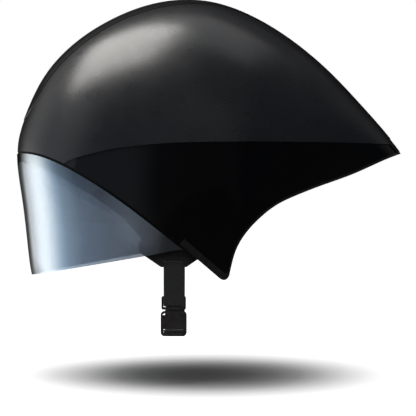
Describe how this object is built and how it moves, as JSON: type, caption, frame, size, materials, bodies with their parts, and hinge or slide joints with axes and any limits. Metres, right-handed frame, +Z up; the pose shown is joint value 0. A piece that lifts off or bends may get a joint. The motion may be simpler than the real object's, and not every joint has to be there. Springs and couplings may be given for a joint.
{
  "type": "aero time trial helmet",
  "caption": "Long-tailed aero cycling helmet with a wrap-round smoke visor, closed cheek flaps, foam liner, fit dial and chin strap with a side-release buckle.",
  "frame": {"origin": "centre of the head opening at the height of the brow", "axes": "+X towards the tail, +Y towards the wearer's right, +Z up; -Z is the way the head leaves"},
  "size_m": [0.3378, 0.2068, 0.2941],
  "materials": {
    "shell_matte": "matte charcoal with a soft broad sheen",
    "shell_gloss": "gloss black",
    "crown_gloss": "gloss warm black",
    "lens": "smoke mirror",
    "edge_trim": "satin rubber lip",
    "cheek_edge": "satin rolled edge",
    "seal_rubber": "matt rubber",
    "seat_plastic": "fine grained plastic",
    "foam": "beaded black foam",
    "pad_fabric": "brushed knit over foam",
    "webbing": "woven webbing",
    "buckle_plastic": "satin moulded plastic",
    "cradle_plastic": "satin moulded plastic",
    "dial_plastic": "grained moulded plastic",
    "screw_steel": "plain steel",
    "magnet": "nickel plate"
  },
  "bodies": {
    "helmet": {"upper_shell": "shell_matte", "lower_shell_left": "shell_gloss", "lower_shell_right": "shell_gloss", "crown_panel": "crown_gloss", "foam_liner": "foam", "tail_foam": "foam", "edge_trim_left": "edge_trim", "edge_trim_right": "edge_trim", "cheek_edge_left": "cheek_edge", "cheek_edge_right": "cheek_edge", "visor_seat": "seat_plastic", "visor_seal": "seal_rubber", "seat_magnets": "magnet", "brow_pad": "pad_fabric", "crown_pads": "pad_fabric", "side_pad_left": "pad_fabric", "side_pad_right": "pad_fabric", "rear_pads": "pad_fabric", "cheek_pad_left": "pad_fabric", "cheek_pad_right": "pad_fabric", "strap_anchors": "seat_plastic", "temple_anchors": "seat_plastic", "front_strap_left": "webbing", "front_strap_right": "webbing", "rear_strap_left": "webbing", "rear_strap_right": "webbing", "splitter_left": "buckle_plastic", "splitter_right": "buckle_plastic", "cradle": "cradle_plastic", "cradle_pads": "pad_fabric", "cradle_yoke": "cradle_plastic", "housing_cover": "cradle_plastic", "housing_screws": "screw_steel", "fit_band_left": "cradle_plastic", "fit_band_right": "cradle_plastic"},
    "visor": {"visor_lens": "lens", "visor_magnets": "magnet", "visor_magnet_cups": "seat_plastic"},
    "dial": {"fit_dial": "dial_plastic", "dial_pinion": "cradle_plastic", "dial_screw": "screw_steel"},
    "rack_left": {"rack_left": "cradle_plastic"},
    "rack_right": {"rack_right": "cradle_plastic"},
    "chin_strap": {"chin_strap_left": "webbing", "chin_strap_right": "webbing", "buckle_male": "buckle_plastic", "buckle_female": "buckle_plastic"},
    "prong_front": {"prong_front": "buckle_plastic"},
    "prong_rear": {"prong_rear": "buckle_plastic"}
  },
  "joints": [
    {"name": "visor_release", "type": "slide", "parent": "helmet", "child": "visor", "axis": [-1, 0, 0], "range_m": [0, 0.15]},
    {"name": "dial_turn", "type": "hinge", "parent": "helmet", "child": "dial", "pos_m": [0.1, 0, -0.032], "axis": [-1, 0, 0], "range_deg": [-110, 110]},
    {"name": "rack_left_slide", "type": "slide", "parent": "helmet", "child": "rack_left", "axis": [0, 1, 0], "range_m": [-0.0095, 0.0095], "deforming": ["fit_band_left"]},
    {"name": "rack_right_slide", "type": "slide", "parent": "helmet", "child": "rack_right", "axis": [0, -1, 0], "range_m": [-0.0096, 0.0096], "deforming": ["fit_band_right"]},
    {"name": "chin_strap_swing", "type": "hinge", "parent": "helmet", "child": "chin_strap", "pos_m": [0.0154, 0, -0.095], "axis": [0, 1, 0], "range_deg": [-40, 30], "deforming": ["chin_strap_left", "chin_strap_right"]},
    {"name": "prong_front_squeeze", "type": "hinge", "parent": "chin_strap", "child": "prong_front", "pos_m": [0.0091, -0.079, -0.1361], "axis": [0, 1, 0], "range_deg": [-7, 0], "stiffness_Nm_per_rad": 0.05},
    {"name": "prong_rear_squeeze", "type": "hinge", "parent": "chin_strap", "child": "prong_rear", "pos_m": [0.0217, -0.079, -0.1361], "axis": [0, 1, 0], "range_deg": [0, 7], "stiffness_Nm_per_rad": 0.05}
  ],
  "couplings": [
    {"joint": "dial_turn", "follows": "rack_left_slide", "rad_per_m": 200},
    {"joint": "rack_right_slide", "follows": "rack_left_slide", "ratio": 1}
  ]
}
